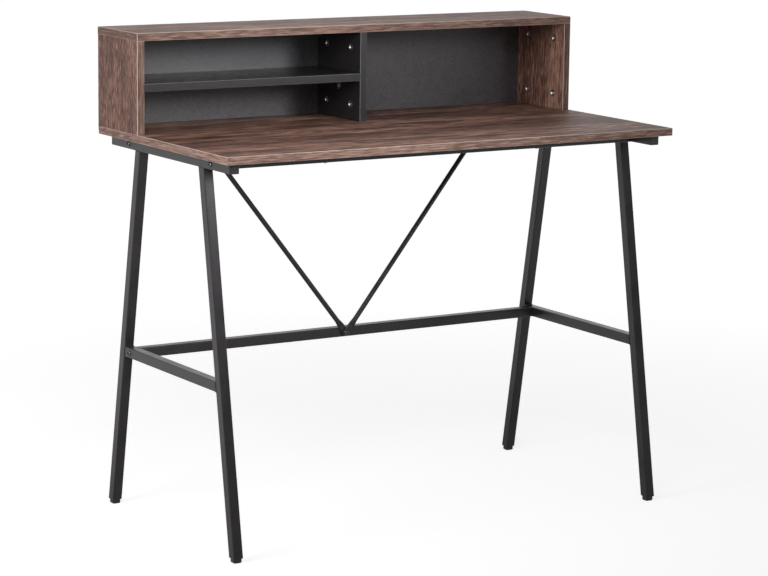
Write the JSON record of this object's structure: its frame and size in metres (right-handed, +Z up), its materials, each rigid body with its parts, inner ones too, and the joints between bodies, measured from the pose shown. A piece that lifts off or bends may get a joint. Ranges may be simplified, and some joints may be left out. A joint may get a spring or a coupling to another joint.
{
  "type": "desk with hutch",
  "caption": "Writing desk with a low open hutch along its rear edge, a dark walnut-decor top and a splayed black steel frame with a V brace.",
  "frame": {"origin": "on the floor, under the middle of the desk's bounding box", "axes": "+X across the desk to the right as a person sits at it, +Y to the back, +Z up"},
  "size_m": [1, 0.523, 0.948],
  "materials": {
    "walnut_laminate": "matt embossed walnut decor on particle board",
    "walnut_edge_band": "satin walnut decor edge strip",
    "black_laminate": "matt black melamine on particle board",
    "black_edge_band": "satin black edge strip",
    "black_hardboard": "matt black printed hardboard",
    "black_powder_coat": "satin black powder coat",
    "black_plastic": "matt black polyethylene",
    "zinc_alloy": "bare die-cast zinc alloy",
    "zinc_plated_steel": "bright zinc plating",
    "black_oxide_steel": "black oxide",
    "beech": "plain turned beech"
  },
  "bodies": {
    "root": {"tabletop": "walnut_laminate", "hutch_top": "walnut_laminate", "hutch_left_side": "walnut_laminate", "hutch_right_side": "walnut_laminate", "tabletop_edge_bands": "walnut_edge_band", "hutch_top_edge_bands": "walnut_edge_band", "hutch_side_edge_bands": "walnut_edge_band", "hutch_divider": "black_laminate", "hutch_shelf": "black_laminate", "divider_edge_band": "black_edge_band", "shelf_edge_band": "black_edge_band", "hutch_back_panel": "black_hardboard", "left_top_rail": "black_powder_coat", "right_top_rail": "black_powder_coat", "front_left_leg": "black_powder_coat", "front_right_leg": "black_powder_coat", "rear_left_leg": "black_powder_coat", "rear_right_leg": "black_powder_coat", "left_side_rung": "black_powder_coat", "right_side_rung": "black_powder_coat", "front_crossbar": "black_powder_coat", "rear_crossbar": "black_powder_coat", "lower_crossbar": "black_powder_coat", "left_brace_rod": "black_powder_coat", "right_brace_rod": "black_powder_coat", "front_left_foot": "black_plastic", "rear_left_foot": "black_plastic", "front_right_foot": "black_plastic", "rear_right_foot": "black_plastic", "front_left_rail_cap": "black_plastic", "rear_left_rail_cap": "black_plastic", "front_right_rail_cap": "black_plastic", "rear_right_rail_cap": "black_plastic", "cam_locks": "zinc_alloy", "cam_bolts": "zinc_plated_steel", "shelf_brackets": "zinc_plated_steel", "shelf_bracket_screws": "zinc_plated_steel", "back_panel_nails": "zinc_plated_steel", "tabletop_screws": "zinc_plated_steel", "crossbar_end_plates": "zinc_plated_steel", "crossbar_bolts": "black_oxide_steel", "brace_bolts": "black_oxide_steel", "brace_nuts": "black_oxide_steel", "upright_dowels": "beech", "shelf_dowels": "beech"}
  },
  "joints": []
}
